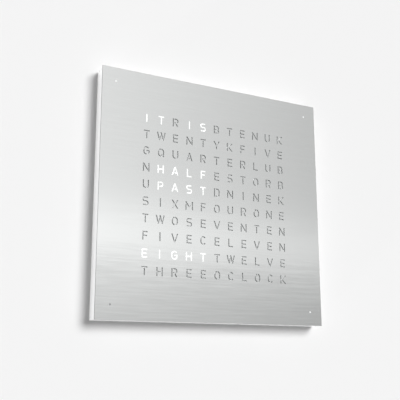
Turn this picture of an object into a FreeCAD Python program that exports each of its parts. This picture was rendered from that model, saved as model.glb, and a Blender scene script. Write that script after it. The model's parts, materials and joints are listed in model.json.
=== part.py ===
import FreeCAD, Part
import math
import os
import re

import Sketcher

# Square wall clock that tells the time in lit words.
#
# Every piece is drawn as the clock lies on its back on a bench: x to the right, y towards the
# top edge and z away from the wall. Each finished piece is then stood up by its Placement, so
# that in the finished clock +X is right, +Z is up, the wall is the plane Y = 0 and the steel
# front looks along -Y. The origin is the middle of the back, where it meets the wall.

DRIVING = {
    # The square plate and the body behind it
    "side": 450.0,
    "whole_depth": 32.0,
    "cover_thick": 2.0,
    "wall_thick": 4.0,
    "panel_thick": 2.0,
    "ledge_wide": 2.0,
    "panel_gap": 0.1,
    # The field of letters and the four minute dots
    "columns": 11,
    "lines": 10,
    "field_side_inset": 71.0,
    "field_end_inset": 70.0,
    "cap_high": 15.6,
    "stroke": 2.1,
    "bridge": 1.3,
    "dot_inset": 25.5,
    "dot_wide": 3.0,
    # Light: boards, lamps, egg crate and diffuser
    "board_thick": 1.6,
    "spacer_high": 2.0,
    "spacer_wide": 6.0,
    "lamp_wide": 5.0,
    "lamp_high": 1.6,
    "crate_wall": 1.6,
    "tube_gap": 0.5,
    "diffuser_thick": 1.0,
    "diffuser_gap": 0.2,
    "sheet_gap": 1.0,
    # Blocks in the housing that take pins, magnets and screws
    "block_wide": 12.0,
    "block_long": 16.0,
    "block_spread": 260.0,
    "magnet_wide": 10.0,
    "cover_magnet_thick": 2.0,
    "housing_magnet_thick": 3.0,
    "magnet_gap": 0.2,
    "pin_wide": 4.0,
    "pin_long": 9.0,
    "pin_gap": 0.08,
    "pin_end_gap": 1.0,
    # Screws and rivets
    "screw_wide": 3.0,
    "screw_head_wide": 5.6,
    "screw_head_high": 1.6,
    "screw_long": 10.0,
    "screw_gap": 0.05,
    "screw_end_gap": 1.0,
    "key_wide": 2.5,
    "key_deep": 1.0,
    # Hanging plates with keyholes
    "hanger_inset": 75.0,
    "hanger_gap": 4.0,
    "hanger_wide": 40.0,
    "hanger_high": 40.0,
    "hanger_thick": 1.5,
    "window_wide": 18.0,
    "window_high": 30.0,
    "keyhole_entry": 10.0,
    "keyhole_slot": 5.0,
    "keyhole_rise": 10.0,
    "rivet_wide": 3.0,
    "rivet_head_wide": 5.0,
    "rivet_head_high": 1.0,
    "rivet_inset": 5.0,
    "bay_side_gap": 5.0,
    # Controller board in its bay above the bottom wall
    "controller_wide": 176.0,
    "controller_high": 44.0,
    "controller_edge_gap": 4.0,
    "bay_gap": 5.0,
    "controller_screw_inset": 6.0,
    # Push buttons, switches and power inlet on the bottom wall
    "axis_rise": 5.0,
    "button_wide": 7.0,
    "button_gap": 0.08,
    "button_travel": 0.8,
    "button_flange_wide": 9.6,
    "button_flange_thick": 1.0,
    "button_spread": 20.0,
    "plunger_wide": 3.5,
    "plunger_gap": 0.08,
    "plunger_seat": 1.2,
    "switch_wide": 7.0,
    "switch_high": 8.0,
    "switch_long": 5.0,
    "switch_end_gap": 0.2,
    "inlet_wide": 11.0,
    "inlet_across": 55.0,
    "jack_wide": 9.0,
    "jack_high": 10.0,
    "jack_long": 14.0,
    "jack_gap": 0.2,
    "jack_bore": 6.4,
    "jack_bore_deep": 9.5,
    "jack_pin_wide": 2.0,
    "jack_pin_long": 8.5,
    # Electronic parts
    "driver_wide": 5.0,
    "driver_long": 7.0,
    "driver_high": 1.2,
    "driver_gap": 17.2,
    "driver_pitch": 70.0,
    "chip_wide": 10.0,
    "chip_high": 1.2,
    "chip_across": -8.0,
    "crystal_long": 11.0,
    "crystal_wide": 4.6,
    "crystal_high": 3.5,
    "crystal_across": 14.0,
    "regulator_wide": 6.5,
    "regulator_high": 2.3,
    "regulator_across": 34.0,
    "capacitor_wide": 8.0,
    "capacitor_high": 10.0,
    "capacitor_inset": 15.0,
    "holder_wide": 24.0,
    "holder_high": 5.0,
    "holder_inset": 22.0,
    "holder_rise": 25.0,
    "cell_wide": 20.0,
    "cell_thick": 3.2,
    "cell_gap": 0.2,
    "middle_rise": 22.0,
    "socket_long": 20.0,
    "socket_wide": 5.0,
    "socket_high": 6.0,
    "socket_inset": 4.5,
    "ribbon_wide": 16.0,
    "ribbon_thick": 0.9,
}

# Places and sizes that follow from the driving ones. Levels are heights above the wall.
WORKED_OUT = {
    "half": "side / 2",
    "inner_half": "half - wall_thick",
    "body_top": "whole_depth - cover_thick",
    "panel_half": "inner_half + ledge_wide - panel_gap",
    "board_base": "panel_thick + spacer_high",
    "board_top": "board_base + board_thick",
    "diffuser_base": "body_top - diffuser_gap - diffuser_thick",
    "crate_high": "diffuser_base - board_top",
    "block_top": "body_top - cover_magnet_thick - magnet_gap",
    "block_middle": "inner_half - block_wide / 2",
    "sheet_half": "inner_half - block_wide - sheet_gap",
    "dot_out": "half - dot_inset",
    "pitch_across": "(side - 2 * field_side_inset) / columns",
    "pitch_down": "(side - 2 * field_end_inset) / lines",
    "tube_wide": "2 * (sheet_half - tube_gap - dot_out)",
    "crate_wide": "columns * pitch_across + crate_wall",
    "crate_tall": "lines * pitch_down + crate_wall",
    "controller_foot": "controller_edge_gap - inner_half",
    "controller_middle": "controller_foot + controller_high / 2",
    "bay_top": "controller_foot + controller_high + bay_gap",
    "bay_wide": "controller_wide + 2 * bay_gap",
    "axis_level": "board_top + axis_rise",
    "flange_top": "button_flange_thick - inner_half",
    "jack_foot": "jack_gap - inner_half",
    "socket_low": "controller_foot + controller_high - socket_inset",
    "socket_top_row": "bay_top + socket_inset + bay_gap / 4",
    "driver_across": "crate_wide / 2 + driver_gap",
    "hanger_spread": "side - 2 * hanger_inset",
    "hanger_up": "inner_half - block_wide - hanger_gap - hanger_high / 2",
    "keyhole_up": "hanger_up - keyhole_rise / 2",
    "holder_across": "holder_inset - controller_wide / 2",
    "capacitor_across": "controller_wide / 2 - capacitor_inset",
}

CORNERS = [(-1, -1), (1, -1), (1, 1), (-1, 1)]

WORDS = [
    "ITRISBTENUK",
    "TWENTYKFIVE",
    "GQUARTERLUB",
    "NHALFESTORB",
    "UPASTDNINEK",
    "SIXMFOURONE",
    "TWOSEVENTEN",
    "FIVECELEVEN",
    "EIGHTTWELVE",
    "THREEOCLOCK",
]

doc = FreeCAD.newDocument("word_clock")
sheet = doc.addObject("Spreadsheet::Sheet", "Sizes")
for row, (alias, number) in enumerate(DRIVING.items(), start=1):
    sheet.set(f"A{row}", alias)
    sheet.set(f"B{row}", str(number))
    sheet.setAlias(f"B{row}", alias)
doc.recompute()

STAND_UP = FreeCAD.Placement(FreeCAD.Vector(), FreeCAD.Rotation(FreeCAD.Vector(1, 0, 0), 90))
FLAT = FreeCAD.Rotation()
ALONG_Y = FreeCAD.Rotation(FreeCAD.Vector(1, 0, 0), -90)
subparts = []


def formula(text):
    """The expression for a size in words, with every name led back to the sheet."""

    def swap(match):
        name = match.group(0)
        if name in WORKED_OUT:
            return "(" + formula(WORKED_OUT[name]) + ")"
        return "Sizes." + name

    return re.sub(r"[a-z_]+", swap, str(text))


def bind(thing, **sizes):
    for prop, text in sizes.items():
        thing.setExpression(prop, formula(text))


def put(thing, at, turn=FLAT):
    thing.Placement = FreeCAD.Placement(FreeCAD.Vector(), turn)
    for letter, text in zip("xyz", at):
        thing.setExpression(f"Placement.Base.{letter}", formula(text))


def finish(thing, name):
    """Names a piece, stands it up and lists it for the hand-in."""
    if thing.TypeId in ("Part::Box", "Part::Cylinder"):
        thing = group(name + "_solid", [thing])
    thing.Label = name
    thing.Placement = STAND_UP
    subparts.append(thing)
    return thing


# Solids


def box(name, middle, size):
    """A box centred on x and y, resting on its level z."""
    thing = doc.addObject("Part::Box", name)
    bind(thing, Length=size[0], Width=size[1], Height=size[2])
    put(thing, (f"{middle[0]} - ({size[0]}) / 2", f"{middle[1]} - ({size[1]}) / 2", middle[2]))
    return thing


def rod(name, wide, long, at, turn=FLAT):
    thing = doc.addObject("Part::Cylinder", name)
    bind(thing, Radius=f"({wide}) / 2", Height=long)
    put(thing, at, turn)
    return thing


def cone(name, wide, tip_wide, high, at):
    thing = doc.addObject("Part::Cone", name)
    bind(thing, Radius1=f"({wide}) / 2", Radius2=f"({tip_wide}) / 2", Height=high)
    put(thing, at)
    return thing


def hex_key(name, at):
    """The six-sided recess that a key turns a screw by."""
    thing = doc.addObject("Part::Prism", name)
    thing.Polygon = 6
    bind(thing, Circumradius="key_wide / 1.732", Height="key_deep")
    put(thing, at)
    return thing


def fuse(name, *pieces):
    thing = doc.addObject("Part::MultiFuse", name)
    thing.Shapes = list(pieces)
    thing.Refine = True
    return thing


def group(name, pieces):
    thing = doc.addObject("Part::Compound", name)
    thing.Links = list(pieces)
    return thing


def cut(name, base, *tools):
    thing = doc.addObject("Part::Cut", name)
    thing.Base = base
    thing.Tool = tools[0] if len(tools) == 1 else group(name + "_tools", tools)
    return thing


def copies(name, master, places):
    """The same solid again at each place, as linked copies in one group."""
    links = []
    for count, at in enumerate(places, start=1):
        link = doc.addObject("App::Link", f"{name}_{count}")
        link.LinkedObject = master
        put(link, at)
        links.append(link)
    return group(name, links)


# Bodies with sketches


def body_of(name):
    body = doc.addObject("PartDesign::Body", name)
    body.AllowCompound = True
    return body


def base_feature(body, role):
    return next(part for part in body.Origin.OriginFeatures if part.Role == role)


def sketch_on(body, name, middle, level):
    """An empty sketch parallel to the wall, with its own origin at the given middle."""
    sketch = body.newObject("Sketcher::SketchObject", name)
    sketch.AttachmentSupport = [(base_feature(body, "XY_Plane"), "")]
    sketch.MapMode = "FlatFace"
    for letter, text in zip("xyz", (middle[0], middle[1], level)):
        sketch.setExpression(f".AttachmentOffset.Base.{letter}", formula(text))
    return sketch


def rectangle(sketch, wide, high):
    """A rectangle held centred on the sketch's origin, with bound width and height."""
    first = sketch.GeometryCount
    corners = [FreeCAD.Vector(10 * x, 8 * y, 0) for x, y in CORNERS]
    for side in range(4):
        sketch.addGeometry(Part.LineSegment(corners[side], corners[(side + 1) % 4]), False)
    for side in range(4):
        after = first + (side + 1) % 4
        sketch.addConstraint(Sketcher.Constraint("Coincident", first + side, 2, after, 1))
        level = "Horizontal" if side % 2 == 0 else "Vertical"
        sketch.addConstraint(Sketcher.Constraint(level, first + side))
    sketch.addConstraint(Sketcher.Constraint("Symmetric", first, 1, first + 2, 1, -1, 1))
    across = sketch.addConstraint(Sketcher.Constraint("DistanceX", first, 1, first, 2, 20))
    up = sketch.addConstraint(Sketcher.Constraint("DistanceY", first + 1, 1, first + 1, 2, 16))
    sketch.setExpression(f"Constraints[{across}]", formula(wide))
    sketch.setExpression(f"Constraints[{up}]", formula(high))


def circle(sketch, wide):
    """A circle held on the sketch's origin, with a bound width."""
    item = sketch.addGeometry(Part.Circle(FreeCAD.Vector(), FreeCAD.Vector(0, 0, 1), 3), False)
    sketch.addConstraint(Sketcher.Constraint("Coincident", item, 3, -1, 1))
    size = sketch.addConstraint(Sketcher.Constraint("Diameter", item, 6))
    sketch.setExpression(f"Constraints[{size}]", formula(wide))


def pad(body, name, outlines, middle, level, high):
    """Raises outlines, each a (wide, high) pair or one width for a circle, by a height."""
    feature = body.newObject("PartDesign::Pad", name)
    feature.Profile = outline_sketch(body, name, outlines, middle, level)
    bind(feature, Length=high)
    return feature


def hole(body, name, outlines, middle, level="0"):
    """Cuts outlines right through the body."""
    feature = body.newObject("PartDesign::Pocket", name)
    feature.Profile = outline_sketch(body, name, outlines, middle, level)
    feature.Type = "ThroughAll"
    feature.Midplane = True
    return feature


def outline_sketch(body, name, outlines, middle, level):
    sketch = sketch_on(body, name + "_outline", middle, level)
    for outline in outlines:
        if isinstance(outline, tuple):
            rectangle(sketch, *outline)
        else:
            circle(sketch, outline)
    return sketch


def repeat(body, name, feature, across, up=None):
    """A row or a field of one feature: across and up are (spacing, count) pairs."""
    pattern = body.newObject("PartDesign::LinearPattern", name)
    pattern.Originals = [feature]
    pattern.Direction = (base_feature(body, "X_Axis"), [""])
    pattern.Mode = "Extent"
    bind(pattern, Length=f"({across[0]}) * ({across[1]} - 1)", Occurrences=across[1])
    if up:
        pattern.Direction2 = (base_feature(body, "Y_Axis"), [""])
        pattern.Mode2 = "Extent"
        bind(pattern, Length2=f"({up[0]}) * ({up[1]} - 1)", Occurrences2=up[1])
    body.Tip = pattern
    return pattern


def sheet_piece(name, wide, high, level, thick, middle=("0", "0")):
    """A body that starts as a flat rectangular sheet."""
    body = body_of(name)
    pad(body, name + "_blank", [(wide, high)], middle, level, thick)
    return body


# Places that several pieces share


def spread(across, up):
    """Four places, mirrored about the middle."""
    return [(f"{x} * ({across})", f"{y} * ({up})") for x, y in CORNERS]


def on_level(places, level):
    return [(x, y, level) for x, y in places]


corner_places = spread("block_middle", "block_middle")
flank_places = spread("block_middle", "block_spread / 2")
end_places = spread("block_spread / 2", "block_middle")
magnet_places = flank_places + end_places
panel_screw_places = corner_places + magnet_places
led_board_screw_places = (
    spread("sheet_half - 3 * spacer_wide", "block_spread / 2 - spacer_wide")
    + [(f"{x} * (bay_wide / 2 + 3 * spacer_wide)", "3 * spacer_wide - sheet_half") for x in (-1, 1)]
    + [(f"{x} * (hanger_spread / 5)", "sheet_half - 3 * spacer_wide") for x in (-1, 1)]
)
controller_screw_places = [
    (
        f"{x} * (controller_wide / 2 - controller_screw_inset)",
        f"controller_middle + {y} * (controller_high / 2 - controller_screw_inset)",
    )
    for x, y in CORNERS
]
button_places = [f"{step} * button_spread" for step in (-2, -1, 0)]
button_names = ["hour", "minute", "brightness"]


# Letterforms


class Letters:
    """Stencil capitals built from straight bars and round bends of one stroke width.

    A letter is drawn about its own middle. Its centre lines reach x = -a to a and y = -b to b.
    Where a letter would close round a counter, its bowl stops a bridge short of the stem, so
    that the metal inside stays joined to the plate.
    """

    WIDTHS = {
        "I": 0.14, "L": 0.61, "F": 0.61, "E": 0.64, "P": 0.70, "T": 0.71, "B": 0.71, "C": 0.72,
        "S": 0.73, "R": 0.73, "D": 0.74, "O": 0.74, "U": 0.74, "G": 0.76, "H": 0.76, "Q": 0.76,
        "K": 0.77, "N": 0.80, "Y": 0.80, "X": 0.80, "A": 0.82, "V": 0.82, "M": 0.96, "W": 1.06,
    }

    def __init__(self, high, stroke, bridge):
        self.high = high
        self.stroke = stroke
        self.bridge = bridge
        self.gap = stroke / 2 + bridge
        self.known = {}

    def polygon(self, points):
        corners = [FreeCAD.Vector(x, y, 0) for x, y in points]
        return Part.Face(Part.makePolygon(corners + corners[:1]))

    def bar(self, x0, y0, x1, y1, start=True, end=True):
        """A straight stroke. An end that is not cut short reaches half a stroke further."""
        reach = self.stroke / 2
        length = math.hypot(x1 - x0, y1 - y0)
        ux, uy = (x1 - x0) / length, (y1 - y0) / length
        back = reach if start else 0
        ahead = reach if end else 0
        x0, y0 = x0 - ux * back, y0 - uy * back
        x1, y1 = x1 + ux * ahead, y1 + uy * ahead
        sx, sy = -uy * reach, ux * reach
        left = [(x0 + sx, y0 + sy), (x1 + sx, y1 + sy)]
        return self.polygon(left + [(x1 - sx, y1 - sy), (x0 - sx, y0 - sy)])

    def slope(self, x0, x1, y0, y1):
        """A slanting stroke with level ends, from x0 on the level y0 to x1 on the level y1."""
        length = math.hypot(x1 - x0, y1 - y0)
        half = self.stroke / 2 * length / abs(y1 - y0)
        return self.polygon([(x0 - half, y0), (x0 + half, y0), (x1 + half, y1), (x1 - half, y1)])

    def bend(self, x, y, radius, start, end):
        """A round stroke about a middle, from one angle to another in degrees."""
        middle = FreeCAD.Vector(x, y, 0)
        up = FreeCAD.Vector(0, 0, 1)
        outer = Part.makeCircle(radius + self.stroke / 2, middle, up, start, end)
        inner = Part.makeCircle(radius - self.stroke / 2, middle, up, start, end)
        ends = [
            Part.makeLine(outer.valueAt(outer.LastParameter), inner.valueAt(inner.LastParameter)),
            Part.makeLine(inner.valueAt(inner.FirstParameter), outer.valueAt(outer.FirstParameter)),
        ]
        return Part.Face(Part.Wire(Part.__sortEdges__([outer, ends[0], inner, ends[1]])))

    def ring(self, a, b, start=90.0, end=270.0):
        """The left half of a long ring: two quarter bends joined by a straight side."""
        straight = b - a
        strokes = [self.bend(0, straight, a, start, 180), self.bend(0, -straight, a, 180, end)]
        strokes.append(self.bar(-a, -straight, -a, straight, False, False))
        return strokes

    def split_ring(self, a, b):
        """A whole long ring, parted by a bridge at its top and at its foot."""
        lean = math.degrees(self.bridge / 2 / a)
        left = self.ring(a, b, 90 + lean, 270 - lean)
        return left + self.mirrored(left)

    def mirrored(self, strokes):
        flip = FreeCAD.Matrix(-1, 0, 0, 0, 0, 1, 0, 0, 0, 0, 1, 0, 0, 0, 0, 1)
        return [stroke.transformGeometry(flip) for stroke in strokes]

    def bowl(self, a, top, foot):
        """A bowl to the right of a stem at -a, parted from the stem by a bridge."""
        radius = (top - foot) / 2
        start = -a + self.gap
        corner = a - radius
        return [
            self.bar(start, top, corner, top, False, False),
            self.bend(corner, foot + radius, radius, -90, 90),
            self.bar(start, foot, corner, foot, False, False),
        ]

    def strokes(self, letter):
        a = (self.WIDTHS[letter] * self.high - self.stroke) / 2
        b = (self.high - self.stroke) / 2
        top = self.high / 2
        stem = self.bar(-a, -b, -a, b) if a > 0.01 else self.bar(0, -b, 0, b)
        far_stem = self.bar(a, -b, a, b)

        def level(y, reach=1.0):
            return self.bar(-a, y, a * reach, y)

        if letter == "I":
            return [stem]
        if letter == "L":
            return [stem, level(-b)]
        if letter == "F":
            return [stem, level(b), level(0, 0.75)]
        if letter == "E":
            return [stem, level(b), level(0, 0.8), level(-b)]
        if letter == "T":
            return [level(b), self.bar(0, -b, 0, b)]
        if letter == "H":
            return [stem, far_stem, level(0)]
        if letter == "N":
            return [stem, far_stem, self.slope(-a, a, top, -top)]
        if letter == "M":
            return [stem, far_stem, self.slope(-a, 0, top, -top / 3), self.slope(a, 0, top, -top / 3)]
        if letter == "V":
            return [self.slope(-a, 0, top, -top), self.slope(a, 0, top, -top)]
        if letter == "X":
            return [self.slope(-a, a, top, -top), self.slope(a, -a, top, -top)]
        if letter == "W":
            inner = [self.slope(-a / 2, 0, -top, top), self.slope(a / 2, 0, -top, top)]
            return inner + [self.slope(-a, -a / 2, top, -top), self.slope(a, a / 2, top, -top)]
        if letter == "Y":
            arms = [self.slope(-a, 0, top, -self.stroke / 2), self.slope(a, 0, top, -self.stroke / 2)]
            return arms + [self.bar(0, -b, 0, 0)]
        if letter == "A":
            legs = [self.slope(-a, 0, -top, top), self.slope(a, 0, -top, top)]
            beam = -self.high / 5
            inside = a * (top - beam) / self.high
            return legs + [self.bar(self.gap - inside + self.stroke / 8, beam, inside, beam, False, False)]
        if letter == "K":
            knee = -a + self.stroke
            arm = self.slope(knee, a, -self.stroke / 2, top)
            return [stem, arm, self.slope(knee, a, self.stroke / 2, -top), level(0, -0.4)]
        if letter == "U":
            foot = self.bend(0, a - b, a, 180, 360)
            sides = [self.bar(x, a - b, x, b, False, True) for x in (-a, a)]
            return sides + [foot]
        if letter == "O":
            return self.split_ring(a, b)
        if letter == "Q":
            tail = self.bar(a / 3, -b + a / 2, a, -b)
            return self.split_ring(a, b) + [tail]
        if letter in "CG":
            lips = [self.bend(0, b - a, a, 35, 90), self.bend(0, a - b, a, 270, 325)]
            if letter == "C":
                return self.ring(a, b) + lips
            side = [self.bar(a, a - b, a, -self.stroke / 2, False, True), self.bar(a / 4, 0, a, 0)]
            return self.ring(a, b) + [lips[0], self.bend(0, a - b, a, 270, 360)] + side
        if letter == "S":
            radius = b / 2
            reach = a - radius
            bends = [self.bend(-reach, radius, radius, 90, 270), self.bend(reach, -radius, radius, -90, 90)]
            bars = [self.bar(-reach, b, a, b, False, False), self.bar(-reach, 0, reach, 0, False, False)]
            return bends + bars + [self.bar(-a, -b, reach, -b, False, False)]
        if letter == "D":
            start = -a + self.gap
            corner = a / 4
            turn = a - corner
            bends = [self.bend(corner, b - turn, turn, 0, 90), self.bend(corner, turn - b, turn, 270, 360)]
            bars = [self.bar(start, y, corner, y, False, False) for y in (-b, b)]
            return [stem, self.bar(a, turn - b, a, b - turn, False, False)] + bends + bars
        if letter == "P":
            return [stem] + self.bowl(a, b, -self.stroke / 2)
        if letter == "R":
            leg = self.slope(0, a - self.stroke / 4, 0, -top)
            return [stem, leg] + self.bowl(a, b, -self.stroke / 4)
        if letter == "B":
            return [stem] + self.bowl(a - self.stroke / 8, b, 0) + self.bowl(a, 0, -b)
        raise ValueError(letter)

    def outlines(self, letter):
        """The letter's islands, each one face with no hole in it."""
        if letter not in self.known:
            strokes = self.strokes(letter)
            joined = strokes[0].multiFuse(strokes[1:]).removeSplitter() if strokes[1:] else strokes[0]
            islands = []
            for wires in [face.Wires for face in joined.Faces]:
                if len(wires) > 1:
                    raise ValueError(f"{letter} has a counter that would drop out of the plate")
                islands.append(Part.Face(wires[0]))
            self.known[letter] = islands
        return self.known[letter]


def letter_field():
    """All outlines of the field of letters, under the cover and clear of it."""
    letters = Letters(sheet.get("cap_high"), sheet.get("stroke"), sheet.get("bridge"))
    columns, lines = int(sheet.get("columns")), int(sheet.get("lines"))
    pitch_across = (sheet.get("side") - 2 * sheet.get("field_side_inset")) / columns
    pitch_down = (sheet.get("side") - 2 * sheet.get("field_end_inset")) / lines
    level = sheet.get("whole_depth") - 2 * sheet.get("cover_thick")
    faces = []
    for line in range(lines):
        for column in range(columns):
            word = WORDS[line % len(WORDS)]
            x = (column - (columns - 1) / 2) * pitch_across
            y = ((lines - 1) / 2 - line) * pitch_down
            for island in letters.outlines(word[column % len(word)]):
                copy = island.copy()
                copy.translate(FreeCAD.Vector(x, y, level))
                faces.append(copy)
    field = doc.addObject("Part::Feature", "letter_outlines")
    field.Shape = Part.makeCompound(faces)
    return field


# Cover: steel plate, locating pins and magnets


def front_cover():
    blank = box("cover_blank", ("0", "0", "body_top"), ("side", "side", "cover_thick"))
    letters = doc.addObject("Part::Extrusion", "letter_cutters")
    letters.Base = letter_field()
    letters.DirMode = "Custom"
    letters.Dir = FreeCAD.Vector(0, 0, 1)
    letters.Solid = True
    bind(letters, LengthFwd="3 * cover_thick")
    drill = rod("dot_drill", "dot_wide", "3 * cover_thick", ("0", "0", "0"))
    dots = copies("dot_cutters", drill, on_level(spread("dot_out", "dot_out"), "body_top - cover_thick"))
    finish(cut("cover", blank, letters, dots), "front_cover")


def cover_pins():
    """Studs on the back of the cover that carry its weight in the housing's corner blocks."""
    pin = rod("pin", "pin_wide", "pin_long", ("0", "0", "0"))
    places = on_level(corner_places, "body_top - pin_long")
    finish(copies("pins", pin, places), "cover_locating_pins")


def magnets():
    disc = rod("cover_disc", "magnet_wide", "cover_magnet_thick", ("0", "0", "0"))
    places = on_level(magnet_places, "body_top - cover_magnet_thick")
    finish(copies("cover_discs", disc, places), "cover_magnets")
    disc = rod("housing_disc", "magnet_wide", "housing_magnet_thick", ("0", "0", "0"))
    places = on_level(magnet_places, "block_top - housing_magnet_thick")
    finish(copies("housing_discs", disc, places), "housing_magnets")


# Housing: white ring, blocks, back panel


def countersunk(name, gap, end_gap):
    """A countersunk screw from the back, or with gaps the hole that takes it."""
    head = cone(
        name + "_head",
        f"screw_head_wide + 2 * {gap}",
        f"screw_wide + 2 * {gap}",
        "(screw_head_wide - screw_wide) / 2",
        ("0", "0", "0"),
    )
    shank = rod(name + "_shank", f"screw_wide + 2 * {gap}", f"screw_long + {end_gap}", ("0", "0", "0"))
    return fuse(name, head, shank)


def housing():
    ring = cut(
        "ring",
        box("ring_outside", ("0", "0", "0"), ("side", "side", "body_top")),
        box("ring_inside", ("0", "0", "-1"), ("2 * inner_half", "2 * inner_half", "body_top + 2")),
    )
    high = "block_top - panel_thick"
    into = "block_wide + wall_thick / 2"
    middle = "(block_middle + wall_thick / 4)"
    blocks = []
    for count, (x, y) in enumerate(CORNERS):
        corner = (f"{x} * {middle}", f"{y} * {middle}", "panel_thick")
        flank = (f"{x} * {middle}", f"{y} * block_spread / 2", "panel_thick")
        end = (f"{x} * block_spread / 2", f"{y} * {middle}", "panel_thick")
        blocks.append(box(f"corner_block_{count}", corner, (into, into, high)))
        blocks.append(box(f"flank_block_{count}", flank, (into, "block_long", high)))
        blocks.append(box(f"end_block_{count}", end, ("block_long", into, high)))
    solid = fuse("ring_with_blocks", ring, *blocks)
    rebate = "2 * (inner_half + ledge_wide)"
    tools = [
        box("rebate", ("0", "0", "-1"), (rebate, rebate, "panel_thick + 1")),
        copies(
            "pin_bores",
            rod("pin_bore", "pin_wide + 2 * pin_gap", "pin_long + pin_end_gap", ("0", "0", "0")),
            on_level(corner_places, "body_top - pin_long - pin_end_gap"),
        ),
        copies(
            "magnet_pockets",
            rod("magnet_pocket", "magnet_wide", "housing_magnet_thick + 1", ("0", "0", "0")),
            on_level(magnet_places, "block_top - housing_magnet_thick"),
        ),
        copies(
            "panel_screw_holes",
            countersunk("panel_screw_hole", "screw_gap", "screw_end_gap"),
            on_level(panel_screw_places, "0"),
        ),
    ]
    for name, x in zip(button_names, button_places):
        at = (x, "-half - 1", "axis_level")
        tools.append(rod(name + "_bore", "button_wide + 2 * button_gap", "wall_thick + 2", at, ALONG_Y))
    at = ("inlet_across", "-half - 1", "axis_level")
    tools.append(rod("inlet_hole", "inlet_wide", "wall_thick + 2", at, ALONG_Y))
    finish(cut("housing", solid, *tools), "housing_frame")


def rear_panel():
    body = sheet_piece("panel_body", "2 * panel_half", "2 * panel_half", "0", "panel_thick")
    window = hole(body, "window", [("window_wide", "window_high")], ("-hanger_spread / 2", "hanger_up"))
    repeat(body, "windows", window, ("hanger_spread", "2"))
    rivet = hole(
        body,
        "rivet_hole",
        ["rivet_wide + 2 * screw_gap"],
        ("rivet_inset - hanger_spread / 2 - hanger_wide / 2", "hanger_up - hanger_high / 2 + rivet_inset"),
    )
    inner = "hanger_wide - 2 * rivet_inset"
    repeat(body, "rivet_holes", rivet, (inner, "2"), ("hanger_high - 2 * rivet_inset", "2"))
    other = hole(
        body,
        "other_rivet_hole",
        ["rivet_wide + 2 * screw_gap"],
        ("rivet_inset + hanger_spread / 2 - hanger_wide / 2", "hanger_up - hanger_high / 2 + rivet_inset"),
    )
    repeat(body, "other_rivet_holes", other, (inner, "2"), ("hanger_high - 2 * rivet_inset", "2"))
    screws = copies(
        "panel_holes",
        countersunk("panel_hole", "screw_gap", "0"),
        on_level(panel_screw_places, "0"),
    )
    finish(cut("panel", body, screws), "rear_panel")


def rear_panel_screws():
    screw = cut("panel_screw", countersunk("screw_blank", "0", "0"), hex_key("panel_key", ("0", "0", "0")))
    finish(copies("panel_screws", screw, on_level(panel_screw_places, "0")), "rear_panel_screws")


# Hanging plates


def hanger_plate(name, side):
    middle = (f"{side} * hanger_spread / 2", "hanger_up")
    body = sheet_piece(name + "_body", "hanger_wide", "hanger_high", "panel_thick", "hanger_thick", middle)
    hole(body, name + "_entry", ["keyhole_entry"], (middle[0], "keyhole_up"))
    hole(body, name + "_slot", [("keyhole_slot", "keyhole_rise")], middle)
    hole(body, name + "_slot_end", ["keyhole_slot"], (middle[0], "keyhole_up + keyhole_rise"))
    rivet = hole(
        body,
        name + "_rivet_hole",
        ["rivet_wide + 2 * screw_gap"],
        (f"{middle[0]} - hanger_wide / 2 + rivet_inset", "hanger_up - hanger_high / 2 + rivet_inset"),
    )
    gap = ("hanger_wide - 2 * rivet_inset", "2"), ("hanger_high - 2 * rivet_inset", "2")
    repeat(body, name + "_rivet_holes", rivet, *gap)
    finish(body, name)


def hanger_rivets():
    rivet = fuse(
        "rivet",
        rod("rivet_shank", "rivet_wide", "panel_thick + hanger_thick", ("0", "0", "0")),
        rod("rivet_head", "rivet_head_wide", "rivet_head_high", ("0", "0", "panel_thick + hanger_thick")),
    )
    places = []
    for side in (-1, 1):
        for x, y in spread("hanger_wide / 2 - rivet_inset", "hanger_high / 2 - rivet_inset"):
            places.append((f"{side} * hanger_spread / 2 + {x}", f"hanger_up + {y}", "0"))
    finish(copies("rivets", rivet, places), "hanger_rivets")


# Light: board, lamps, egg crate, tubes, diffuser


def spacers_and_screws(name, places):
    """Spacers that hold a board off the back panel, and the screws through it."""
    spacer = cut(
        name + "_spacer",
        rod(name + "_sleeve", "spacer_wide", "spacer_high", ("0", "0", "0")),
        rod(name + "_bore", "screw_wide + 2 * screw_gap", "spacer_high", ("0", "0", "0")),
    )
    finish(copies(name + "_spacer_set", spacer, on_level(places, "panel_thick")), name + "_spacers")
    shank = rod(name + "_shank", "screw_wide", "spacer_high + board_thick", ("0", "0", "0"))
    head_level = "spacer_high + board_thick"
    head = rod(name + "_head", "screw_head_wide", "screw_head_high", ("0", "0", head_level))
    key = hex_key(name + "_key", ("0", "0", f"{head_level} + screw_head_high - key_deep"))
    screw = cut(name + "_screw", fuse(name + "_screw_blank", shank, head), key)
    finish(copies(name + "_screw_set", screw, on_level(places, "panel_thick")), name + "_screws")


def board_holes(body, name, places):
    for count, middle in enumerate(places, start=1):
        hole(body, f"{name}_{count}", ["screw_wide + 2 * screw_gap"], middle)


def led_board():
    body = sheet_piece("led_board_body", "2 * sheet_half", "2 * sheet_half", "board_base", "board_thick")
    bay_high = "2 * (bay_top + sheet_half)"
    hole(body, "controller_bay", [("bay_wide", bay_high)], ("0", "-sheet_half"))
    room = ("hanger_wide + 2 * bay_side_gap", "hanger_high + 2 * bay_side_gap")
    for side in (-1, 1):
        hole(body, f"hanger_bay_{side + 1}", [room], (f"{side} * hanger_spread / 2", "hanger_up"))
    board_holes(body, "led_board_hole", led_board_screw_places)
    finish(body, "led_board")
    spacers_and_screws("led_board", led_board_screw_places)


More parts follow.
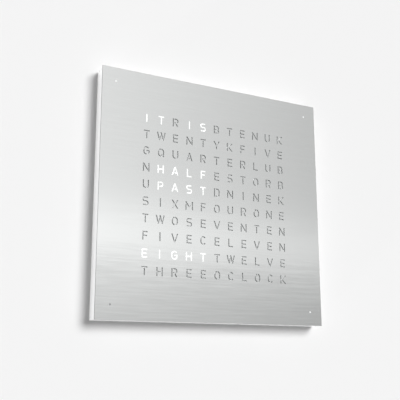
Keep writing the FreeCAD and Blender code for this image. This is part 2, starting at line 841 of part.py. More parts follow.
def lamps():
    field = body_of("letter_lamp_body")
    first = (
        "-(columns - 1) * pitch_across / 2",
        "-(lines - 1) * pitch_down / 2",
    )
    lamp = pad(field, "letter_lamp", [("lamp_wide", "lamp_wide")], first, "board_top", "lamp_high")
    repeat(field, "letter_lamps", lamp, ("pitch_across", "columns"), ("pitch_down", "lines"))
    finish(field, "letter_leds")
    corner = body_of("minute_lamp_body")
    first = ("-dot_out", "-dot_out")
    lamp = pad(corner, "minute_lamp", [("lamp_wide", "lamp_wide")], first, "board_top", "lamp_high")
    repeat(corner, "minute_lamps", lamp, ("2 * dot_out", "2"), ("2 * dot_out", "2"))
    finish(corner, "minute_leds")


def light_crate():
    body = sheet_piece("crate_body", "crate_wide", "crate_tall", "board_top", "crate_high")
    first = (
        "-(columns - 1) * pitch_across / 2",
        "-(lines - 1) * pitch_down / 2",
    )
    room = ("pitch_across - crate_wall", "pitch_down - crate_wall")
    cell = hole(body, "cell", [room], first, "board_top")
    repeat(body, "cells", cell, ("pitch_across", "columns"), ("pitch_down", "lines"))
    finish(body, "light_crate")


def minute_tubes():
    body = body_of("tube_body")
    room = "tube_wide - 2 * crate_wall"
    outlines = [("tube_wide", "tube_wide"), (room, room)]
    tube = pad(body, "tube", outlines, ("-dot_out", "-dot_out"), "board_top", "crate_high")
    repeat(body, "tubes", tube, ("2 * dot_out", "2"), ("2 * dot_out", "2"))
    finish(body, "minute_light_tubes")


def diffuser():
    wide = "2 * sheet_half"
    finish(sheet_piece("diffuser_body", wide, wide, "diffuser_base", "diffuser_thick"), "diffuser_sheet")


def driver_chips():
    body = body_of("driver_body")
    first = ("-driver_across", "-1.5 * driver_pitch")
    chip = pad(body, "driver", [("driver_wide", "driver_long")], first, "board_top", "driver_high")
    repeat(body, "drivers", chip, ("2 * driver_across", "2"), ("driver_pitch", "4"))
    finish(body, "led_driver_chips")


# Controller board and what is on it


def controller_board():
    middle = ("0", "controller_middle")
    size = ("controller_wide", "controller_high")
    body = sheet_piece("controller_body", *size, "board_base", "board_thick", middle)
    board_holes(body, "controller_hole", controller_screw_places)
    finish(body, "controller_board")
    spacers_and_screws("controller_board", controller_screw_places)


def on_controller(name, wide, long, high, across):
    at = (across, "controller_foot + middle_rise", "board_top")
    finish(box(name + "_block", at, (wide, long, high)), name)


def small_parts():
    on_controller("controller_chip", "chip_wide", "chip_wide", "chip_high", "chip_across")
    on_controller("clock_crystal", "crystal_long", "crystal_wide", "crystal_high", "crystal_across")
    size = ("regulator_wide", "regulator_wide", "regulator_high")
    on_controller("voltage_regulator", *size, "regulator_across")
    at = ("capacitor_across", "controller_foot + middle_rise", "board_top")
    finish(rod("capacitor_can", "capacitor_wide", "capacitor_high", at), "smoothing_capacitor")


def coin_cell():
    middle = ("holder_across", "controller_foot + holder_rise")
    level = "board_top + holder_high - cell_thick"
    holder = box("holder_block", (*middle, "board_top"), ("holder_wide", "holder_wide", "holder_high"))
    room = rod("holder_room", "cell_wide + 2 * cell_gap", "cell_thick + 1", (*middle, level))
    thumb = box(
        "thumb_room",
        (middle[0], f"{middle[1]} + holder_wide / 2", level),
        ("cell_wide / 2", "cell_wide / 2", "cell_thick + 1"),
    )
    finish(cut("holder", holder, room, thumb), "coin_cell_holder")
    finish(rod("cell", "cell_wide", "cell_thick", (*middle, level)), "coin_cell")


def sockets_and_ribbon():
    size = ("socket_long", "socket_wide", "socket_high")
    finish(box("low_socket", ("0", "socket_low", "board_top"), size), "controller_socket")
    finish(box("high_socket", ("0", "socket_top_row", "board_top"), size), "led_board_socket")
    reach = "(socket_top_row - socket_low)"
    turn = FreeCAD.Rotation(FreeCAD.Vector(0, 1, 0), 90)
    at = ("-ribbon_wide / 2", "(socket_top_row + socket_low) / 2", "board_top + socket_high")
    outer = rod("ribbon_outside", f"{reach} + ribbon_thick", "ribbon_wide", at, turn)
    inner = rod("ribbon_inside", f"{reach} - ribbon_thick", "ribbon_wide", at, turn)
    lower = box(
        "ribbon_foot",
        ("0", at[1], "board_top + socket_high - socket_top_row + socket_low"),
        ("ribbon_wide", f"2 * {reach}", reach),
    )
    finish(cut("ribbon", outer, inner, lower), "ribbon_cable")


# Push buttons and power inlet


def push_button(name, x):
    """A button through the bottom wall, the plunger that it pushes and the switch behind it."""
    stem = rod(name + "_stem", "button_wide", "wall_thick", (x, "-half", "axis_level"), ALONG_Y)
    flange = rod(
        name + "_flange",
        "button_flange_wide",
        "button_flange_thick",
        (x, "-inner_half", "axis_level"),
        ALONG_Y,
    )
    finish(fuse(name + "_cap", stem, flange), name + "_button")
    stem_long = "controller_foot - flange_top + plunger_seat"
    rest = (x, "flange_top", "axis_level")
    finish(rod(name + "_rod", "plunger_wide", stem_long, rest, ALONG_Y), name + "_switch_plunger")
    case = box(
        name + "_case",
        (x, "controller_foot + switch_long / 2", "board_top"),
        ("switch_wide", "switch_long", "switch_high"),
    )
    room = rod(
        name + "_room",
        "plunger_wide + 2 * plunger_gap",
        "plunger_seat + button_travel + switch_end_gap + 1",
        (x, "controller_foot - 1", "axis_level"),
        ALONG_Y,
    )
    finish(cut(name + "_box", case, room), name + "_switch")


def power_inlet():
    case = box(
        "jack_case",
        ("inlet_across", "jack_foot + jack_long / 2", "board_top"),
        ("jack_wide", "jack_long", "jack_high"),
    )
    mouth = ("inlet_across", "jack_foot - 1", "axis_level")
    bore = rod("jack_room", "jack_bore", "jack_bore_deep + 1", mouth, ALONG_Y)
    finish(cut("jack", case, bore), "power_jack")
    root = ("inlet_across", "jack_foot + jack_bore_deep - jack_pin_long", "axis_level")
    finish(rod("jack_contact", "jack_pin_wide", "jack_pin_long", root, ALONG_Y), "power_jack_pin")


front_cover()
cover_pins()
magnets()
housing()
rear_panel()
rear_panel_screws()
hanger_plate("hanger_plate_left", -1)
hanger_plate("hanger_plate_right", 1)
hanger_rivets()
led_board()
lamps()
light_crate()
minute_tubes()
diffuser()
driver_chips()
controller_board()
small_parts()
coin_cell()
sockets_and_ribbon()
for name, x in zip(button_names, button_places):
    push_button(name, x)
power_inlet()
doc.recompute()

# Checks before anything is written

for thing in doc.Objects:
    if {"Invalid", "Error"} & set(thing.State):
        raise RuntimeError(f"{thing.Name} did not build: {thing.State}")
for thing in subparts:
    if thing.Shape.isNull() or not thing.Shape.isValid() or not thing.Shape.Solids:
        raise RuntimeError(f"{thing.Label} has no valid solid")

os.makedirs("parts", exist_ok=True)
for thing in subparts:
    thing.Shape.exportStep(os.path.join("parts", thing.Label + ".step"))
    span = thing.Shape.BoundBox
    print(
        f"{thing.Label:28} solids {len(thing.Shape.Solids):4}  volume {thing.Shape.Volume:12.1f}  "
        f"x {span.XMin:8.2f} {span.XMax:8.2f}  y {span.YMin:7.2f} {span.YMax:7.2f}  "
        f"z {span.ZMin:8.2f} {span.ZMax:8.2f}"
    )
print(len(subparts), "sub-parts")
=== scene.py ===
# %% [markdown]
# # A word clock: brushed steel, white lacquer and light
#
# This lesson dresses a finished CAD model of a square wall clock. The clock has no hands. A steel
# front is cut through with a field of letters, and lamps behind it light the words that tell the
# time. The construction comes from the frame, in metres, with the wall as the plane Y = 0. What is
# left to Blender is the finish of each surface, the light and the view.

# %% Load the frame
import json
import math

import bmesh
import bpy
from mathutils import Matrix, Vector


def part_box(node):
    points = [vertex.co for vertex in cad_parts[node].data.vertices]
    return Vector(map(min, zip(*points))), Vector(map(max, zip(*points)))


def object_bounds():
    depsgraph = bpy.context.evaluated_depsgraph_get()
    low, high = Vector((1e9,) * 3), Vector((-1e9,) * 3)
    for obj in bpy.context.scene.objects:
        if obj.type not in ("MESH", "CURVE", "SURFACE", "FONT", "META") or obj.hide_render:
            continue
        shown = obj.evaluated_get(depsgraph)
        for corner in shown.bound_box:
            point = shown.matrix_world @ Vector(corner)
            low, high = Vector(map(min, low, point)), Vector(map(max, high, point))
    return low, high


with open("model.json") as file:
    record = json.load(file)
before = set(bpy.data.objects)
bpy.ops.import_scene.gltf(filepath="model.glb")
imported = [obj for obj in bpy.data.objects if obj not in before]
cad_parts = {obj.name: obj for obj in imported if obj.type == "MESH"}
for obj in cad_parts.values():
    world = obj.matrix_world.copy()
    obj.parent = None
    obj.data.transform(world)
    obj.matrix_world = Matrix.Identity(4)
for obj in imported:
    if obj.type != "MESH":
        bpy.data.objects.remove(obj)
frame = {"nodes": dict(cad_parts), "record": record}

cad_low, cad_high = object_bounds()
nodes = frame["nodes"]
print(len(nodes), "nodes from", tuple(cad_low), "to", tuple(cad_high))

# %% [markdown]
# ## The view
#
# The clock is seen from its lower left, close enough for its top and bottom edges to run together
# to the right. The lens was found by fitting a square of known size to the four corners of the
# front. A small vertical shift stands for the crop of the picture, as on a camera with a rising
# front.

# %% Place the camera
MM = 0.001
PICTURE = 400
SENSOR = 36.0
LENS_IN_PIXELS = 618.1
AXIS_BELOW_MIDDLE = 35.9
EYE = Vector((-494.8, -1028.4, -292.6)) * MM
AZIMUTH = math.radians(-24.80)
ELEVATION = math.radians(-11.49)

look = Vector((
    -math.sin(AZIMUTH) * math.cos(ELEVATION),
    math.cos(AZIMUTH) * math.cos(ELEVATION),
    -math.sin(ELEVATION),
))
camera_data = bpy.data.cameras.new("camera")
camera_data.sensor_width = SENSOR
camera_data.lens = LENS_IN_PIXELS / PICTURE * SENSOR
camera_data.shift_y = AXIS_BELOW_MIDDLE / PICTURE
camera = bpy.data.objects.new("camera", camera_data)
camera.location = EYE
camera.rotation_mode = "QUATERNION"
camera.rotation_quaternion = look.to_track_quat("-Z", "Y")
bpy.context.scene.collection.objects.link(camera)
bpy.context.scene.camera = camera
print("lens", round(camera_data.lens, 1), "mm")

# %% [markdown]
# ## The wall
#
# The clock hangs on a white wall, and the wall takes its soft shadow. The plane is solid only from
# the side that faces the room. Seen from behind it is clear, so that a view of the back of the
# clock isn't blocked by the wall it hangs on. Right behind the clock the plane is open, so that
# light from behind reaches the back of the clock. The opening is a little smaller than the clock,
# which covers it from the room.

# %% Make the wall
WALL_REACH = 3.0
WALL_GAP = 0.2 * MM
OPENING_INSIDE = 0.4 * MM
WALL_WHITE = (0.93, 0.93, 0.93, 1.0)
WALL_ROUGHNESS = 0.9


def link_piece(bm, name):
    """Writes a bmesh to a new object in the scene and returns the object."""
    mesh = bpy.data.meshes.new(name)
    bm.to_mesh(mesh)
    bm.free()
    piece = bpy.data.objects.new(name, mesh)
    bpy.context.scene.collection.objects.link(piece)
    return piece


def one_sided_material(name, color, roughness):
    """A matt colour on the front of a plane, and nothing at all on its back."""
    material = bpy.data.materials.new(name)
    material.use_nodes = True
    tree = material.node_tree
    shader = tree.nodes["Principled BSDF"]
    shader.inputs["Base Color"].default_value = color
    shader.inputs["Roughness"].default_value = roughness
    shader.inputs["Specular IOR Level"].default_value = 0.0
    clear = tree.nodes.new("ShaderNodeBsdfTransparent")
    side = tree.nodes.new("ShaderNodeNewGeometry")
    mix = tree.nodes.new("ShaderNodeMixShader")
    tree.links.new(side.outputs["Backfacing"], mix.inputs["Fac"])
    tree.links.new(shader.outputs["BSDF"], mix.inputs[1])
    tree.links.new(clear.outputs["BSDF"], mix.inputs[2])
    tree.links.new(mix.outputs["Shader"], tree.nodes["Material Output"].inputs["Surface"])
    return material


bm = bmesh.new()
for x, z in ((-1, -1), (1, -1), (1, 1), (-1, 1)):
    bm.verts.new((x * WALL_REACH, WALL_GAP, z * WALL_REACH))
whole = bm.faces.new(bm.verts)
whole.normal_update()
opening_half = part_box("housing_frame")[1].x - OPENING_INSIDE
margin = WALL_REACH - opening_half
bmesh.ops.inset_region(bm, faces=[whole], thickness=margin, use_boundary=True, use_even_offset=True)
bmesh.ops.delete(bm, geom=[whole], context="FACES")
wall = link_piece(bm, "wall")
wall.data.materials.append(one_sided_material("wall_paint", WALL_WHITE, WALL_ROUGHNESS))
print("wall faces", tuple(round(v, 2) for v in wall.data.polygons[0].normal), len(wall.data.polygons))

# %% [markdown]
# ## The room that the steel reflects
#
# Brushed steel has no colour of its own to speak of: what is seen on it is a blur of the room in
# front. So the world is a simple room, described by slopes. A mirror-like ray that leaves a flat
# plate has gone some way right and some way up for each metre forward. On a flat plate these two
# slopes change evenly from edge to edge, so a tone given by slopes lies on the steel like a level
# gradient. The room darkens evenly to the right and towards the level of the eye, and a long level
# strip light crosses it.

# %% Build the world
CAMERA_TONE = 0.921
MATT_TONE = 0.27
LEAST_FORWARD = 0.05

world = bpy.data.worlds.new("studio")
bpy.context.scene.world = world
world.use_nodes = True
world.cycles.sampling_method = "NONE"
room = world.node_tree
room.nodes.clear()


def math_node(tree, operation, *values):
    """A Math node whose inputs may be sockets or plain numbers. Returns its output."""
    node = tree.nodes.new("ShaderNodeMath")
    node.operation = operation
    for socket, value in zip(node.inputs, values):
        if isinstance(value, bpy.types.NodeSocket):
            tree.links.new(value, socket)
        else:
            socket.default_value = value
    return node.outputs[0]


def ramp_node(tree, value, start, end, low, high, kind="SMOOTHSTEP"):
    """Maps a value that runs from start to end onto low to high, and holds it beyond."""
    node = tree.nodes.new("ShaderNodeMapRange")
    node.interpolation_type = kind
    tree.links.new(value, node.inputs["Value"])
    for name, number in zip(("From Min", "From Max", "To Min", "To Max"), (start, end, low, high)):
        node.inputs[name].default_value = number
    return node.outputs["Result"]


direction = room.nodes.new("ShaderNodeSeparateXYZ")
room.links.new(room.nodes.new("ShaderNodeTexCoord").outputs["Generated"], direction.inputs[0])
into_room = math_node(room, "MULTIPLY", direction.outputs["Y"], -1.0)
forward = math_node(room, "MAXIMUM", into_room, LEAST_FORWARD)
slope_across = math_node(room, "DIVIDE", direction.outputs["X"], forward)
slope_up = math_node(room, "DIVIDE", direction.outputs["Z"], forward)

LEFT_SLOPE, RIGHT_SLOPE = 0.2, 0.8
LEFT_TONE, RIGHT_TONE = 0.92, 0.60
DARK_SLOPE, EVEN_SLOPE = 0.02, 0.22
DARK_SHARE = 0.70
STRIP_SLOPE = 0.214
STRIP_HALF = 0.055
STRIP_FROM, STRIP_TO = 0.25, 0.55
STRIP_LEFT, STRIP_RIGHT = 0.74, 0.68

base = ramp_node(room, slope_across, LEFT_SLOPE, RIGHT_SLOPE, LEFT_TONE, RIGHT_TONE, "LINEAR")
off_level = math_node(room, "ABSOLUTE", slope_up)
low = ramp_node(room, off_level, DARK_SLOPE, EVEN_SLOPE, DARK_SHARE, 1.0)
off_strip = math_node(room, "ABSOLUTE", math_node(room, "SUBTRACT", slope_up, STRIP_SLOPE))
strip = ramp_node(room, off_strip, 0.0, STRIP_HALF, 1.0, 0.0)
share = ramp_node(room, slope_across, STRIP_FROM, STRIP_TO, STRIP_LEFT, STRIP_RIGHT)
lifted = math_node(room, "MULTIPLY_ADD", strip, share, low)
mirror_tone = math_node(room, "MULTIPLY", base, lifted)

path = room.nodes.new("ShaderNodeLightPath")
tone = room.nodes.new("ShaderNodeMix")
room.links.new(path.outputs["Is Glossy Ray"], tone.inputs["Factor"])
tone.inputs["A"].default_value = MATT_TONE
room.links.new(mirror_tone, tone.inputs["B"])
straight_through = math_node(
    room, "MAXIMUM", path.outputs["Is Camera Ray"], path.outputs["Is Transmission Ray"]
)
seen = room.nodes.new("ShaderNodeMix")
room.links.new(straight_through, seen.inputs["Factor"])
room.links.new(tone.outputs["Result"], seen.inputs["A"])
seen.inputs["B"].default_value = CAMERA_TONE
background = room.nodes.new("ShaderNodeBackground")
background.inputs["Color"].default_value = (1.0, 1.0, 1.0, 1.0)
room.links.new(seen.outputs["Result"], background.inputs["Strength"])
output = room.nodes.new("ShaderNodeOutputWorld")
room.links.new(background.outputs["Background"], output.inputs["Surface"])
print("world nodes", len(room.nodes))

# %% [markdown]
# ## Lamps
#
# The key light stands up to the right in front and is broad, so that the shadow lies to the lower
# left with a soft edge. It is kept out of mirror-like rays, or it would show as a white disc in
# the steel. A raking light comes from the lower left along the wall. It brightens the thin white
# edge of the body and leaves the wall and the front all but alone, since it runs along both. The
# edge doesn't pass its light on, so the shadow beside it stays deep. A third lamp stands behind the
# wall and reaches nothing but the back of the clock.

# %% Add the lamps
BODY_DEPTH = 32.0
SHADOW_LEFT, SHADOW_DOWN = 14.0, 13.0
KEY_STRENGTH, KEY_SPREAD = 2.56, 30
RAKE_TOWARDS = (-0.75, 0.0, -0.66)
RAKE_STRENGTH, RAKE_SPREAD = 3.7, 4
BACK_TOWARDS = (0.35, 1.0, 0.45)
BACK_STRENGTH, BACK_SPREAD = 2.3, 20
MANY_BOUNCES = 12


def sun(name, towards, strength, spread, bounces=MANY_BOUNCES):
    """A lamp so far away that it has only a direction. The spread, in degrees, blurs its shadows."""
    data = bpy.data.lights.new(name, "SUN")
    data.energy = strength
    data.angle = math.radians(spread)
    data.cycles.max_bounces = bounces
    lamp = bpy.data.objects.new(name, data)
    lamp.rotation_mode = "QUATERNION"
    lamp.rotation_quaternion = Vector(towards).to_track_quat("Z", "Y")
    lamp.visible_glossy = False
    bpy.context.scene.collection.objects.link(lamp)
    return lamp


key = sun("key_light", (SHADOW_LEFT, -BODY_DEPTH, SHADOW_DOWN), KEY_STRENGTH, KEY_SPREAD)
rake = sun("raking_light", RAKE_TOWARDS, RAKE_STRENGTH, RAKE_SPREAD, bounces=0)
back = sun("back_light", BACK_TOWARDS, BACK_STRENGTH, BACK_SPREAD)
print([lamp.name for lamp in (key, rake, back)])

# %% [markdown]
# ## Effects that several finishes share
#
# A node group is built once and placed in each material with its own numbers, like a shader's own
# subroutine. Here a group puts out only colours and values that change over the surface. The
# Principled shader stays in the material.
#
# `drawn_grain` is the mark of an abrasive belt: noise stretched thin along one axis. Two sizes
# of it are mixed, because a belt leaves a few long marks among many short ones. Its second
# output leans the surface a hair up or down from mark to mark, which is what makes brushing show:
# each mark looks into a slightly different height of the room.

# %% Build the drawn grain group
FLOAT, VECTOR = "NodeSocketFloat", "NodeSocketVector"


def new_group(name, inputs, outputs):
    """An empty shader node group with float inputs and typed outputs."""
    group = bpy.data.node_groups.new(name, "ShaderNodeTree")
    for socket, default in inputs.items():
        made = group.interface.new_socket(socket, in_out="INPUT", socket_type=FLOAT)
        made.default_value = default
    for socket, kind in outputs.items():
        group.interface.new_socket(socket, in_out="OUTPUT", socket_type=kind)
    return group, group.nodes.new("NodeGroupInput"), group.nodes.new("NodeGroupOutput")


def vector_math(tree, operation, first, second=None):
    """A Vector Math node on a socket and, where it is given, a second socket or plain vector."""
    node = tree.nodes.new("ShaderNodeVectorMath")
    node.operation = operation
    tree.links.new(first, node.inputs[0])
    if isinstance(second, bpy.types.NodeSocket):
        tree.links.new(second, node.inputs["Scale" if operation == "SCALE" else 1])
    elif second is not None:
        node.inputs[1].default_value = second
    return node.outputs[0]


def noise(tree, vector, scale, detail=2.0, roughness=0.5):
    """A Noise Texture at a point. Returns its grey value."""
    node = tree.nodes.new("ShaderNodeTexNoise")
    node.inputs["Scale"].default_value = scale
    node.inputs["Detail"].default_value = detail
    node.inputs["Roughness"].default_value = roughness
    tree.links.new(vector, node.inputs["Vector"])
    return node.outputs["Fac"]


def sized_place(tree, given):
    """The point on the piece, in metres, times the group's Size."""
    place = tree.nodes.new("ShaderNodeTexCoord").outputs["Object"]
    return vector_math(tree, "SCALE", place, given.outputs["Size"])


FINE_MARKS, BROAD_MARKS = (36, 36, 1300), (16, 16, 360)
BROAD_SHARE = 0.6
FINE_ROUGHNESS = 0.6

drawn_grain, given, result = new_group(
    "drawn_grain", {"Size": 1.0, "Contrast": 1.0, "Lean": 0.0}, {"Grain": FLOAT, "Normal": VECTOR}
)
place = sized_place(drawn_grain, given)
fine_place = vector_math(drawn_grain, "MULTIPLY", place, FINE_MARKS)
fine = noise(drawn_grain, fine_place, 1.0, roughness=FINE_ROUGHNESS)
broad_place = vector_math(drawn_grain, "MULTIPLY", place, BROAD_MARKS)
broad = noise(drawn_grain, broad_place, 1.0)
fine_part = math_node(drawn_grain, "MULTIPLY", fine, 1 - BROAD_SHARE)
marks = math_node(drawn_grain, "MULTIPLY_ADD", broad, BROAD_SHARE, fine_part)
centred = math_node(drawn_grain, "SUBTRACT", marks, 0.5)
scaled = math_node(drawn_grain, "MULTIPLY", centred, given.outputs["Contrast"])
drawn_grain.links.new(math_node(drawn_grain, "ADD", scaled, 0.5), result.inputs["Grain"])

lean = drawn_grain.nodes.new("ShaderNodeCombineXYZ")
drawn_grain.links.new(math_node(drawn_grain, "MULTIPLY", centred, given.outputs["Lean"]), lean.inputs["Z"])
flat = drawn_grain.nodes.new("ShaderNodeNewGeometry").outputs["Normal"]
leaning = vector_math(drawn_grain, "ADD", flat, lean.outputs[0])
drawn_grain.links.new(vector_math(drawn_grain, "NORMALIZE", leaning), result.inputs["Normal"])
print(drawn_grain.name, len(drawn_grain.nodes), "nodes")

# %% [markdown]
# `fine_skin` is what paint and moulded plastic have in common: a slight waviness at a few
# millimetres and a finer tooth below one. One output varies the colour and the shine a little,
# and the other is a height for a Bump node.

# %% Build the fine skin group
WAVE_SCALE, TOOTH_SCALE = 120.0, 1800.0
TOOTH_SHARE = 0.35

fine_skin, given, result = new_group(
    "fine_skin", {"Size": 1.0, "Contrast": 1.0}, {"Tone": FLOAT, "Height": FLOAT}
)
place = sized_place(fine_skin, given)
wave = noise(fine_skin, place, WAVE_SCALE, detail=1.0)
tooth = noise(fine_skin, place, TOOTH_SCALE)
centred = math_node(fine_skin, "SUBTRACT", wave, 0.5)
scaled = math_node(fine_skin, "MULTIPLY", centred, given.outputs["Contrast"])
fine_skin.links.new(math_node(fine_skin, "ADD", scaled, 0.5), result.inputs["Tone"])
mixed = math_node(fine_skin, "MULTIPLY_ADD", tooth, TOOTH_SHARE, wave)
fine_skin.links.new(mixed, result.inputs["Height"])
print(fine_skin.name, len(fine_skin.nodes), "nodes")

# %% [markdown]
# ## A material from a few words
#
# Every finish starts the same way: a Principled shader with its plain numbers on its own sockets,
# and one group that varies the base colour and the roughness between two near values. The function
# below does that and keeps the material under its name. The few finishes that need more add it
# afterwards.

# %% Define the material builder
TONE_FROM, TONE_TO = 0.25, 0.75

finishes = {}


def grouped(tree, group, **numbers):
    """Places a node group in a tree with its numbers set."""
    node = tree.nodes.new("ShaderNodeGroup")
    node.node_tree = group
    for name, number in numbers.items():
        node.inputs[name].default_value = number
    return node


def varied_color(tree, fac, dark, light):
    """A colour that runs from dark to light as a value runs from 0 to 1."""
    node = tree.nodes.new("ShaderNodeMix")
    node.data_type = "RGBA"
    node.inputs["A"].default_value = (*dark, 1.0)
    node.inputs["B"].default_value = (*light, 1.0)
    tree.links.new(fac, node.inputs["Factor"])
    return node.outputs["Result"]


def shade(color, share):
    """A share of a colour, no lighter than white."""
    return tuple(min(1.0, channel * share) for channel in color)


def make_finish(
    name,
    color,
    roughness,
    metallic=0.0,
    contrast=0.04,
    group=fine_skin,
    size=1.0,
    bump=0.0,
    lean=0.0,
    **extra,
):
    """A Principled material whose colour and roughness follow a shared grain."""
    material = bpy.data.materials.new(name)
    material.use_nodes = True
    tree = material.node_tree
    shader = tree.nodes["Principled BSDF"]
    shader.inputs["Metallic"].default_value = metallic
    for socket, value in extra.items():
        shader.inputs[socket.replace("_", " ")].default_value = value
    grain = grouped(tree, group, Size=size)
    tone = grain.outputs[0]
    tree.links.new(
        varied_color(tree, tone, shade(color, 1 - contrast), shade(color, 1 + contrast)),
        shader.inputs["Base Color"],
    )
    shine = ramp_node(tree, tone, TONE_FROM, TONE_TO, *roughness, "LINEAR")
    tree.links.new(shine, shader.inputs["Roughness"])
    if bump:
        relief = tree.nodes.new("ShaderNodeBump")
        relief.inputs["Distance"].default_value = bump
        tree.links.new(grain.outputs["Height"], relief.inputs["Height"])
        tree.links.new(relief.outputs["Normal"], shader.inputs["Normal"])
    if lean:
        grain.inputs["Lean"].default_value = lean
        tree.links.new(grain.outputs["Normal"], shader.inputs["Normal"])
    finishes[name] = material
    return material


print("builder ready")

# %% [markdown]
# ## The steel front
#
# Stainless sheet, brushed level. Each scratch throws light up and down, not sideways, so the blur
# of a reflection is long across the grain. In the shader that is anisotropy, with the tangent set
# upright. It leans back a little as well, because a tangent that stands square on a face would turn
# the upper and lower walls of the letter cuts black. The streaks come from the grain's lean, so
# they show where the room's tone changes quickly with height, and fade where it is even.

# %% Make the front steel
TANGENT_LEAN = 0.5
steel = make_finish(
    "brushed_front_steel",
    color=(0.800, 0.812, 0.806),
    roughness=(0.13, 0.15),
    metallic=1.0,
    contrast=0.05,
    group=drawn_grain,
    lean=0.045,
    Anisotropic=0.6,
)
tree = steel.node_tree
shader = tree.nodes["Principled BSDF"]
upright = tree.nodes.new("ShaderNodeCombineXYZ")
upright.inputs["Z"].default_value = 1.0
upright.inputs["Y"].default_value = TANGENT_LEAN
tree.links.new(upright.outputs[0], shader.inputs["Tangent"])
print(steel.name)

# %% [markdown]
# The plate's outer edge is a sheared one: matt and grey. Its colour is also painted shade, much darker
# than the brushed face, for the shadowed wall that the edge reflects. A mask picks it out by distance
# from the middle, and the edge's painted colour and its roughness are mixed in there.

# %% Paint shade on the sheared edge
HALF_SIDE = cad_high.x
EDGE_SKIN = 0.1 * MM
# The edge's grey below is painted shade: darker than sheared steel, for the shadowed wall it reflects.
EDGE_PAINTED_SHADE, EDGE_ROUGHNESS = (0.13, 0.132, 0.135), 0.42

outer_edge, given, result = new_group("outer_edge", {"Half": HALF_SIDE - EDGE_SKIN}, {"Edge": FLOAT})
spot = outer_edge.nodes.new("ShaderNodeSeparateXYZ")
outer_edge.links.new(outer_edge.nodes.new("ShaderNodeTexCoord").outputs["Object"], spot.inputs[0])
across, up = (math_node(outer_edge, "ABSOLUTE", spot.outputs[axis]) for axis in "XZ")
furthest = math_node(outer_edge, "MAXIMUM", across, up)
beyond = math_node(outer_edge, "GREATER_THAN", furthest, given.outputs["Half"])
outer_edge.links.new(beyond, result.inputs["Edge"])


def mix_in(tree, socket, mask, value, kind):
    """Mixes a plain value into whatever feeds a socket, where a mask is one."""
    node = tree.nodes.new("ShaderNodeMix")
    node.data_type = kind
    tree.links.new(socket.links[0].from_socket, node.inputs["A"])
    node.inputs["B"].default_value = value
    tree.links.new(mask, node.inputs["Factor"])
    tree.links.new(node.outputs["Result"], socket)


edge = grouped(tree, outer_edge).outputs["Edge"]
# Mixes the painted shade into the colour along the outer edge.
mix_in(tree, shader.inputs["Base Color"], edge, (*EDGE_PAINTED_SHADE, 1.0), "RGBA")
mix_in(tree, shader.inputs["Roughness"], edge, EDGE_ROUGHNESS, "FLOAT")
print(outer_edge.name, len(outer_edge.nodes), "nodes")

# %% [markdown]
# ## The opal sheet and the words in light
#
# Behind the letters lies one opal sheet. A lamp in its own cell lights each letter from behind, so
# a lit word is a run of bright cells on that sheet. The mask below is the sum of a few rectangles
# in the field's own measures: a line, a first column and a number of letters. Within a run, each
# cell is brightest in front of its lamp and dimmer towards the walls of the cell.

# %% Describe the field and the lit words
COLUMNS, LINES = 11, 10
PITCH_ACROSS, PITCH_DOWN = 28.0 * MM, 31.0 * MM
DOT_OUT = 199.5 * MM
DOT_HALF = 6.0 * MM
LIT_RUNS = [(1, 1, 2), (1, 4, 2), (4, 2, 4), (5, 2, 4), (9, 1, 5)]
LIT_DOTS = [(-1, 1), (1, 1), (1, -1)]


def run_rectangle(line, column, letters):
    """Middle and half size of the lit patch behind a run of letters, counted from 1."""
    middle_column = column + (letters - 1) / 2 - (COLUMNS + 1) / 2
    middle_line = (LINES + 1) / 2 - line
    half = (letters * PITCH_ACROSS / 2, PITCH_DOWN / 2)
    return (middle_column * PITCH_ACROSS, middle_line * PITCH_DOWN), half


patches = [run_rectangle(*run) for run in LIT_RUNS]
patches += [((x * DOT_OUT, z * DOT_OUT), (DOT_HALF, DOT_HALF)) for x, z in LIT_DOTS]
print(len(patches), "lit patches")

# %% [markdown]
# The mask is a node group with no inputs. For each patch it asks how far a point is from the
# middle, across and up, and whether both are within the half size. A ping-pong wave over the pitch
# then gives how far the point is from the middle of its own cell.

# %% Build the mask and the opal material
CELL_BRIGHT, CELL_EDGE_SHARE = 0.6, 0.05

lit_mask, _, result = new_group("lit_mask", {}, {"Lit": FLOAT})
place = lit_mask.nodes.new("ShaderNodeSeparateXYZ")
lit_mask.links.new(lit_mask.nodes.new("ShaderNodeTexCoord").outputs["Object"], place.inputs[0])


def within(tree, value, middle, half):
    """One where a value is less than half away from a middle, and zero elsewhere."""
    away = math_node(tree, "ABSOLUTE", math_node(tree, "SUBTRACT", value, middle))
    return math_node(tree, "LESS_THAN", away, half)


total = None
for (x, z), (half_x, half_z) in patches:
    inside = math_node(
        lit_mask,
        "MULTIPLY",
        within(lit_mask, place.outputs["X"], x, half_x),
        within(lit_mask, place.outputs["Z"], z, half_z),
    )
    total = inside if total is None else math_node(lit_mask, "ADD", total, inside)


def from_cell_middle(tree, value, pitch, middle_on_zero):
    """How far a value is from the nearest middle of a cell, as a share of half the pitch."""
    wave = math_node(tree, "PINGPONG", math_node(tree, "DIVIDE", value, pitch / 2), 1.0)
    return wave if middle_on_zero else math_node(tree, "SUBTRACT", 1.0, wave)


away_across = from_cell_middle(lit_mask, place.outputs["X"], PITCH_ACROSS, COLUMNS % 2 == 1)
away_up = from_cell_middle(lit_mask, place.outputs["Z"], PITCH_DOWN, LINES % 2 == 1)
away = math_node(lit_mask, "MAXIMUM", away_across, away_up)
glow = ramp_node(lit_mask, away, CELL_BRIGHT, 1.0, 1.0, CELL_EDGE_SHARE)
lit_mask.links.new(math_node(lit_mask, "MULTIPLY", total, glow), result.inputs["Lit"])

LAMP_LEVEL = 0.88
opal = make_finish("opal_acrylic", (0.68, 0.69, 0.69), (0.45, 0.55), contrast=0.02)
tree = opal.node_tree
shader = tree.nodes["Principled BSDF"]
mask = grouped(tree, lit_mask)
tree.links.new(
    varied_color(tree, mask.outputs["Lit"], (0.0, 0.0, 0.0), (1.0, 1.0, 0.99)),
    shader.inputs["Emission Color"],
)
shader.inputs["Emission Strength"].default_value = LAMP_LEVEL
print("mask nodes", len(lit_mask.nodes))

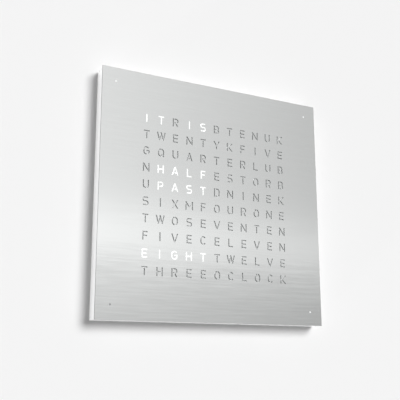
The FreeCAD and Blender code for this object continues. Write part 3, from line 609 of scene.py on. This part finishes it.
# %% [markdown]
# ## The other finishes
#
# Each call below makes one slot of the record from its colour and the range of its roughness. Drawn
# and turned metals take the brushing of the front at a quarter of its size, and everything else
# takes the moulded skin.

# %% Make the rest of the finishes
SMALL_GRAIN = 4.0


def drawn_metal(name, color, roughness, contrast):
    """A small metal part with fine drawn marks."""
    return make_finish(name, color, roughness, 1.0, contrast, drawn_grain, SMALL_GRAIN)


make_finish(
    "white_lacquer", (0.93, 0.93, 0.93), (0.32, 0.40), contrast=0.01, bump=0.04 * MM, Coat_Weight=0.15
)
make_finish("rear_sheet", (0.80, 0.80, 0.80), (0.5, 0.62), contrast=0.03, bump=0.08 * MM)
drawn_metal("zinc_steel", (0.62, 0.63, 0.65), (0.28, 0.4), contrast=0.08)
make_finish("nickel_magnet", (0.72, 0.71, 0.69), (0.2, 0.3), metallic=1.0, contrast=0.05)
make_finish("white_crate", (0.90, 0.90, 0.89), (0.5, 0.6), contrast=0.02, bump=0.04 * MM)
make_finish("white_board", (0.84, 0.86, 0.84), (0.35, 0.5), contrast=0.03)
make_finish("green_board", (0.05, 0.24, 0.12), (0.3, 0.42), contrast=0.12)
make_finish("lamp_body", (0.93, 0.90, 0.74), (0.25, 0.35), contrast=0.03)
make_finish("black_chip", (0.035, 0.035, 0.038), (0.45, 0.6), contrast=0.15, bump=0.05 * MM)
make_finish("socket_plastic", (0.80, 0.77, 0.70), (0.45, 0.55), bump=0.04 * MM)
make_finish("ribbon_jacket", (0.5, 0.51, 0.53), (0.5, 0.6), contrast=0.06)
make_finish("button_plastic", (0.5, 0.51, 0.52), (0.3, 0.4), contrast=0.02, bump=0.03 * MM)
make_finish("plunger_plastic", (0.08, 0.08, 0.09), (0.4, 0.5), contrast=0.1)
drawn_metal("crystal_can", (0.78, 0.77, 0.75), (0.18, 0.28), contrast=0.04)
drawn_metal("capacitor_can", (0.80, 0.81, 0.82), (0.25, 0.35), contrast=0.04)
drawn_metal("cell_steel", (0.74, 0.74, 0.74), (0.2, 0.3), contrast=0.06)
make_finish("contact_metal", (0.80, 0.65, 0.34), (0.2, 0.3), metallic=1.0, contrast=0.05)
print(len(finishes), "finishes")

# %% [markdown]
# ## Dressing the CAD pieces
#
# The record says which slot each node takes its finish from, so the dressing is one loop.

# %% Assign the finishes
for entry in frame["record"]["subparts"]:
    node = nodes[entry["node"]]
    for slot in node.material_slots:
        slot.material = finishes[entry["material_slot"]]

# %% [markdown]
# ## Picture settings
#
# The Standard view shows a colour about as it is written.

# %% Finish
bpy.context.scene.view_settings.view_transform = "Standard"
